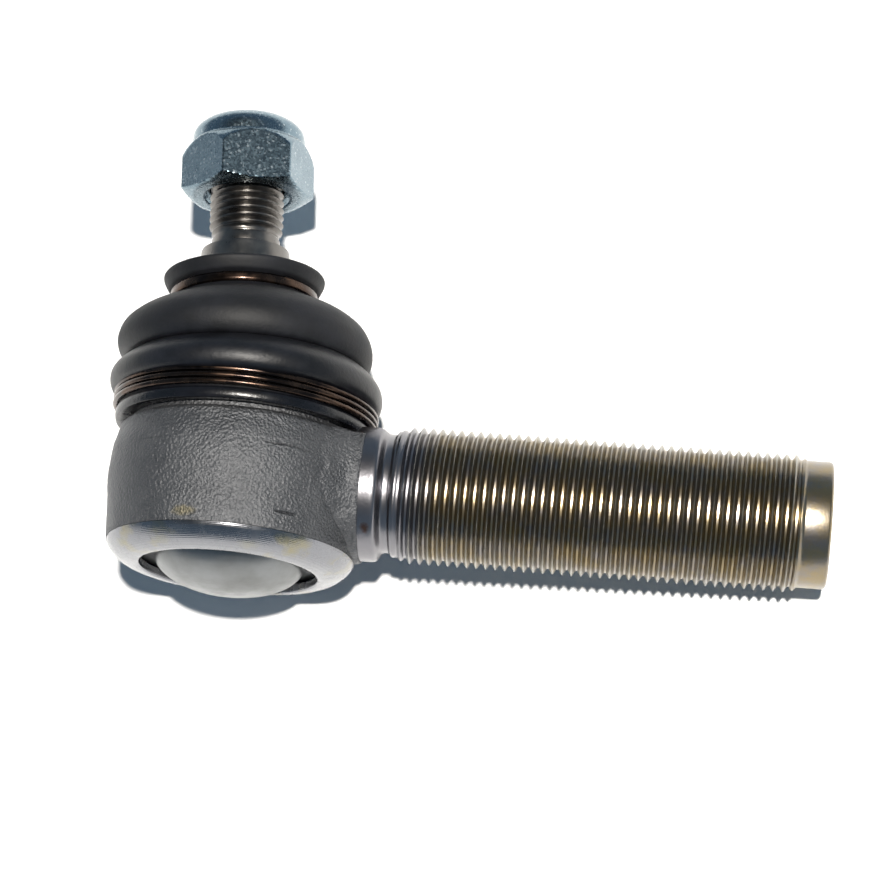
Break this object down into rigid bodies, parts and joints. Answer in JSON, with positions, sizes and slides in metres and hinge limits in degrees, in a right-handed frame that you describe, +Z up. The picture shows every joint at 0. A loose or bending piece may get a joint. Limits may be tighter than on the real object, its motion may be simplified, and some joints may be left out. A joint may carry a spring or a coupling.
{
  "type": "tie rod end",
  "caption": "Ball joint tie rod end: forged housing with a left-hand threaded shank, ball stud in plastic seats, rubber bellows boot and a self-locking nut.",
  "frame": {"origin": "bottom centre of the bounding box, on the ground the part lies on", "axes": "+Z up; +Y along the socket's axis from the cap to the nut; +X from the ball along the shank, whose axis dips 7.18 degrees to the ground"},
  "size_m": [0.1159, 0.0793, 0.0435],
  "materials": {
    "forged_steel": "as-forged, shot-blasted and oiled, with machined rim and threads",
    "cap_steel": "pressed, satin",
    "turned_steel": "fine turned",
    "spring_steel": "oil tempered",
    "zinc_plate": "bright zinc plated",
    "bronzed_steel": "bronze-coloured, glossy",
    "acetal": "moulded, greased",
    "nylon": "moulded",
    "boot_rubber": "satin moulded"
  },
  "bodies": {
    "housing_body": {"housing": "forged_steel", "upper_seat": "acetal", "lower_seat": "acetal", "disc_spring": "spring_steel", "end_cap": "cap_steel", "boot_clamp_coil": "bronzed_steel"},
    "boot_body": {"boot": "boot_rubber"},
    "ring_body": {"boot_upper_ring": "bronzed_steel"},
    "stud_body": {"ball_stud": "turned_steel"},
    "insert_body": {"nut_insert": "nylon"},
    "nut_body": {"nut": "zinc_plate"}
  },
  "joints": [
    {"name": "ball_swing", "type": "hinge", "parent": "housing_body", "child": "boot_body", "pos_m": [-0.03601, -0.02154, 0.0218], "axis": [0.125, 0, 0.9922], "range_deg": [-24.6, 15.4], "deforming": ["boot"]},
    {"name": "ball_tilt", "type": "hinge", "parent": "boot_body", "child": "ring_body", "pos_m": [-0.03601, -0.02154, 0.0218], "axis": [0.989, 0.0802, -0.1246], "range_deg": [-20, 20], "deforming": ["boot"]},
    {"name": "stud_spin", "type": "hinge", "parent": "ring_body", "child": "stud_body", "pos_m": [-0.03601, -0.02154, 0.0218], "axis": [-0.0796, 0.9968, 0.01], "continuous": true},
    {"name": "nut_travel", "type": "slide", "parent": "stud_body", "child": "insert_body", "axis": [-0.0796, 0.9968, 0.01], "range_m": [-0.00625, 0.01125]},
    {"name": "nut_turn", "type": "hinge", "parent": "insert_body", "child": "nut_body", "pos_m": [-0.03601, -0.02154, 0.0218], "axis": [-0.0796, 0.9968, 0.01], "range_deg": [-1805, 3245]}
  ],
  "couplings": [
    {"joint": "nut_turn", "follows": "nut_travel", "rad_per_m": 5026.5}
  ]
}
